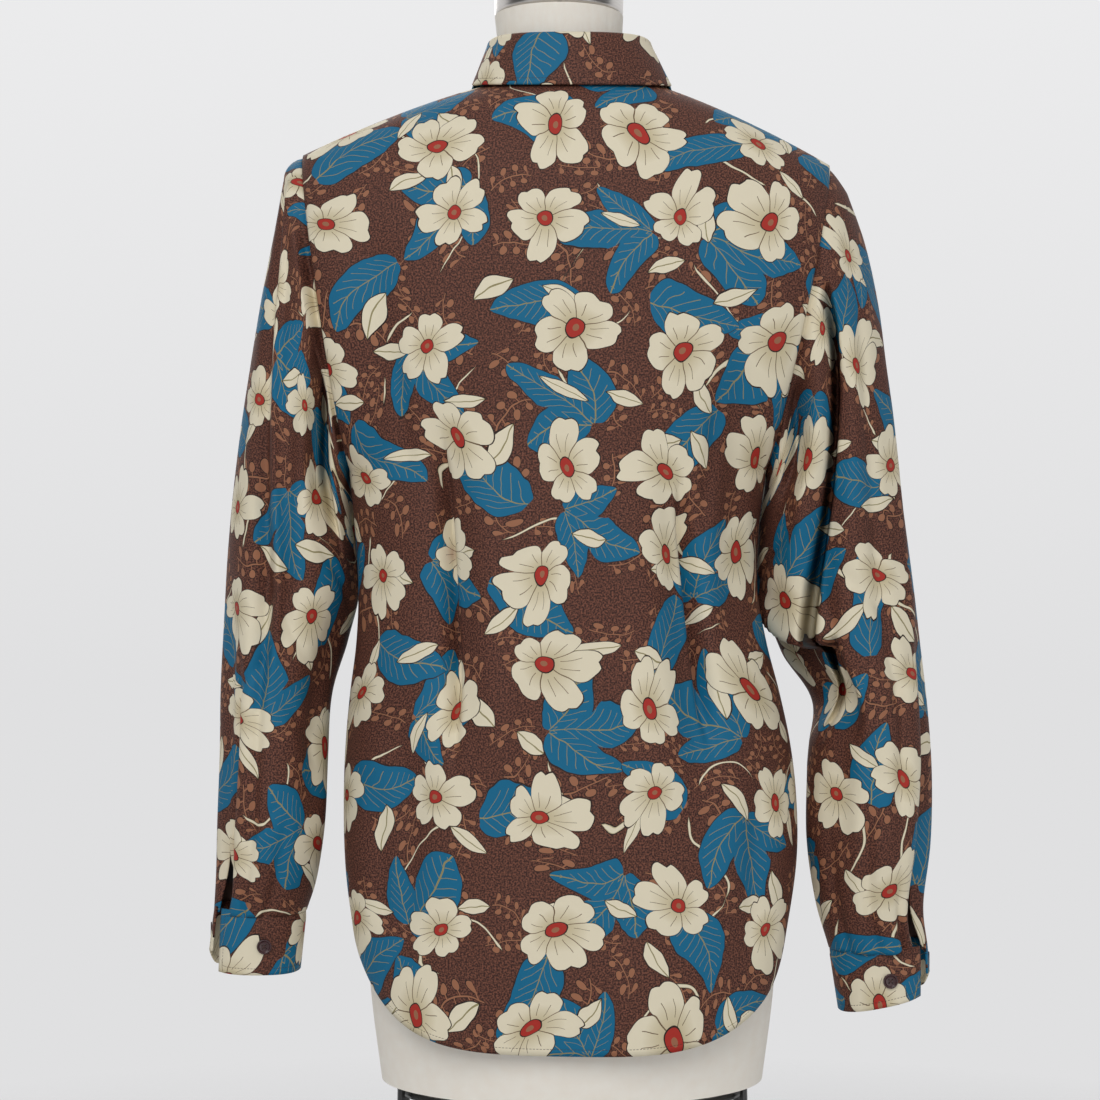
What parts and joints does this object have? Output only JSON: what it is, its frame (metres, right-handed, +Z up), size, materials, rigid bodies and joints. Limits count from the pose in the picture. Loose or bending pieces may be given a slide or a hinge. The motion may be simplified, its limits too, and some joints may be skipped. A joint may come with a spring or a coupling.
{
  "type": "blouse on a dress form",
  "caption": "Long-sleeved button-front blouse with a shirt collar and curved hem, in a dark floral print, shown on a limbless linen dress form with a black stand",
  "frame": {"origin": "On the floor, under the middle of the pole and the round base.", "axes": "+Z up, the blouse's front faces -Y and the wearer's left is +X."},
  "size_m": [0.5614, 0.38, 1.262],
  "materials": {
    "print_cloth": "soft matt print",
    "button": "polished",
    "form_linen": "plain weave",
    "neck_metal": "brushed",
    "black_iron": "satin black"
  },
  "bodies": {
    "root": {"back": "print_cloth", "front_left": "print_cloth", "front_right": "print_cloth", "front_band": "print_cloth", "sleeve_left": "print_cloth", "sleeve_right": "print_cloth", "cuff_left": "print_cloth", "cuff_right": "print_cloth", "collar_stand": "print_cloth", "collar_fall": "print_cloth", "button_front_1": "button", "button_front_2": "button", "button_front_3": "button", "button_front_4": "button", "button_front_5": "button", "button_front_6": "button", "button_front_7": "button", "button_cuff_left": "button", "button_cuff_right": "button", "form_torso": "form_linen", "neck_cap": "neck_metal", "hoop_upper": "black_iron", "hoop_lower": "black_iron", "rod_1": "black_iron", "rod_2": "black_iron", "rod_3": "black_iron", "rod_4": "black_iron", "rod_5": "black_iron", "rod_6": "black_iron", "rod_7": "black_iron", "rod_8": "black_iron", "pole": "black_iron", "base": "black_iron"}
  },
  "joints": []
}
